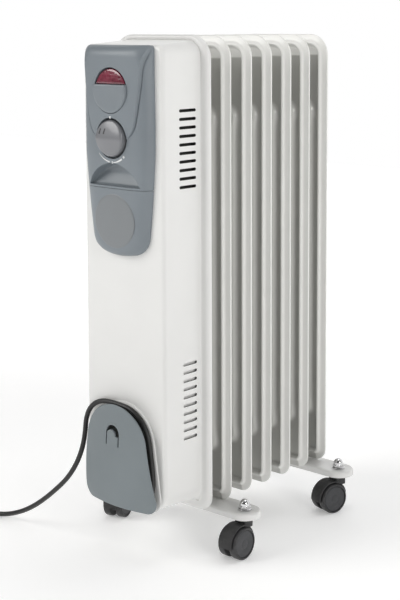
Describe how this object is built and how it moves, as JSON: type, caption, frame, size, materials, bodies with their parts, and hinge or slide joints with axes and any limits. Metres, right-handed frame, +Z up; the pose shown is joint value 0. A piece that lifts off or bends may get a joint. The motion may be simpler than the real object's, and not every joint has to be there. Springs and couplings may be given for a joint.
{
  "type": "oil filled radiator heater",
  "caption": "Free-standing oil filled radiator heater with upright white fins, a front control housing with a knob and a lit power key, a cord wrap and swivelling twin casters.",
  "frame": {"origin": "middle of the heater's footprint on the floor, measured without the free cord", "axes": "+Z up, the control panel faces -Y, +X to the right for someone who looks at the panel"},
  "size_m": [0.4059, 0.4912, 0.6376],
  "materials": {
    "fin_enamel": "gloss white enamel",
    "cover_enamel": "satin white enamel",
    "panel_grey": "satin blue grey",
    "key_grey": "satin grey",
    "knob_silver": "satin silver grey",
    "badge_silver": "satin silver grey",
    "lens_maroon": "translucent dark red",
    "lamp_glass": "clear",
    "wrap_grey": "satin light grey",
    "wrap_white": "satin white",
    "black_plastic": "semi gloss",
    "caster_black": "semi gloss",
    "wheel_black": "satin",
    "cord_black": "satin",
    "zinc_steel": "zinc plated",
    "bright_chrome": "polished",
    "pin_brass": "bright",
    "seal_rubber": "matt",
    "sheath_steel": "dull",
    "phenolic_dark": "matt"
  },
  "bodies": {
    "heater": {"fin_1": "fin_enamel", "fin_2": "fin_enamel", "fin_3": "fin_enamel", "fin_4": "fin_enamel", "fin_5": "fin_enamel", "fin_6": "fin_enamel", "fin_7": "fin_enamel", "upper_header_rings": "fin_enamel", "lower_header_rings": "fin_enamel", "header_end_caps": "fin_enamel", "oil_filler_plug": "zinc_steel", "element_gasket": "seal_rubber", "element_flange": "pin_brass", "heating_element": "sheath_steel", "thermal_cutout": "phenolic_dark", "control_housing": "cover_enamel", "housing_back_plate": "zinc_steel", "housing_fasteners": "zinc_steel", "control_panel": "panel_grey", "badge_panel": "panel_grey", "badge_disc": "badge_silver", "indicator_lens": "lens_maroon", "indicator_lamp": "lamp_glass", "control_bracket": "zinc_steel", "thermostat_body": "phenolic_dark", "switch_body": "black_plastic", "terminal_block": "phenolic_dark", "cord_wrap_base": "wrap_white", "cord_wrap_plate": "wrap_grey", "cord_on_wrap": "cord_black", "cord_gland": "black_plastic", "mains_cord": "cord_black", "cord_coil": "cord_black", "plug_body": "black_plastic", "plug_pins": "pin_brass", "front_foot_bracket": "cover_enamel", "rear_foot_bracket": "cover_enamel", "u_bolts": "zinc_steel", "wing_nuts": "zinc_steel", "caster_stems": "zinc_steel", "caster_cap_nuts": "bright_chrome"},
    "front_left_fork": {"caster_front_left_fork": "caster_black", "caster_front_left_axle": "zinc_steel"},
    "front_left_wheel_left": {"caster_front_left_wheel_left": "wheel_black"},
    "front_left_wheel_right": {"caster_front_left_wheel_right": "wheel_black"},
    "front_right_fork": {"caster_front_right_fork": "caster_black", "caster_front_right_axle": "zinc_steel"},
    "front_right_wheel_left": {"caster_front_right_wheel_left": "wheel_black"},
    "front_right_wheel_right": {"caster_front_right_wheel_right": "wheel_black"},
    "rear_left_fork": {"caster_rear_left_fork": "caster_black", "caster_rear_left_axle": "zinc_steel"},
    "rear_left_wheel_left": {"caster_rear_left_wheel_left": "wheel_black"},
    "rear_left_wheel_right": {"caster_rear_left_wheel_right": "wheel_black"},
    "rear_right_fork": {"caster_rear_right_fork": "caster_black", "caster_rear_right_axle": "zinc_steel"},
    "rear_right_wheel_left": {"caster_rear_right_wheel_left": "wheel_black"},
    "rear_right_wheel_right": {"caster_rear_right_wheel_right": "wheel_black"},
    "knob": {"thermostat_knob": "knob_silver", "thermostat_shaft": "zinc_steel"},
    "key": {"power_key": "key_grey"}
  },
  "joints": [
    {"name": "front_left_swivel", "type": "hinge", "parent": "heater", "child": "front_left_fork", "pos_m": [-0.1052, -0.0453, 0.0538], "axis": [0, 0, 1], "continuous": true},
    {"name": "front_left_wheel_left_spin", "type": "hinge", "parent": "front_left_fork", "child": "front_left_wheel_left", "pos_m": [-0.09978, -0.06035, 0.0195], "axis": [0.9409, 0.3387, 0], "continuous": true},
    {"name": "front_left_wheel_right_spin", "type": "hinge", "parent": "front_left_fork", "child": "front_left_wheel_right", "pos_m": [-0.09978, -0.06035, 0.0195], "axis": [0.9409, 0.3387, 0], "continuous": true},
    {"name": "front_right_swivel", "type": "hinge", "parent": "heater", "child": "front_right_fork", "pos_m": [0.1052, -0.0453, 0.0538], "axis": [0, 0, 1], "continuous": true},
    {"name": "front_right_wheel_left_spin", "type": "hinge", "parent": "front_right_fork", "child": "front_right_wheel_left", "pos_m": [0.1052, -0.0613, 0.0195], "axis": [1, 0, 0], "continuous": true},
    {"name": "front_right_wheel_right_spin", "type": "hinge", "parent": "front_right_fork", "child": "front_right_wheel_right", "pos_m": [0.1052, -0.0613, 0.0195], "axis": [1, 0, 0], "continuous": true},
    {"name": "rear_left_swivel", "type": "hinge", "parent": "heater", "child": "rear_left_fork", "pos_m": [-0.1052, 0.152, 0.0538], "axis": [0, 0, 1], "continuous": true},
    {"name": "rear_left_wheel_left_spin", "type": "hinge", "parent": "rear_left_fork", "child": "rear_left_wheel_left", "pos_m": [-0.10079, 0.13662, 0.0195], "axis": [0.9613, 0.2756, 0], "continuous": true},
    {"name": "rear_left_wheel_right_spin", "type": "hinge", "parent": "rear_left_fork", "child": "rear_left_wheel_right", "pos_m": [-0.10079, 0.13662, 0.0195], "axis": [0.9613, 0.2756, 0], "continuous": true},
    {"name": "rear_right_swivel", "type": "hinge", "parent": "heater", "child": "rear_right_fork", "pos_m": [0.1052, 0.152, 0.0538], "axis": [0, 0, 1], "continuous": true},
    {"name": "rear_right_wheel_left_spin", "type": "hinge", "parent": "rear_right_fork", "child": "rear_right_wheel_left", "pos_m": [0.10079, 0.13662, 0.0195], "axis": [0.9613, -0.2756, 0], "continuous": true},
    {"name": "rear_right_wheel_right_spin", "type": "hinge", "parent": "rear_right_fork", "child": "rear_right_wheel_right", "pos_m": [0.10079, 0.13662, 0.0195], "axis": [0.9613, -0.2756, 0], "continuous": true},
    {"name": "knob_turn", "type": "hinge", "parent": "heater", "child": "knob", "pos_m": [0, -0.1654, 0.516], "axis": [0, 1, 0], "range_deg": [0, 270]},
    {"name": "key_press", "type": "slide", "parent": "heater", "child": "key", "axis": [0, 1, 0], "range_m": [0, 0.002], "stiffness_N_per_m": 700}
  ]
}
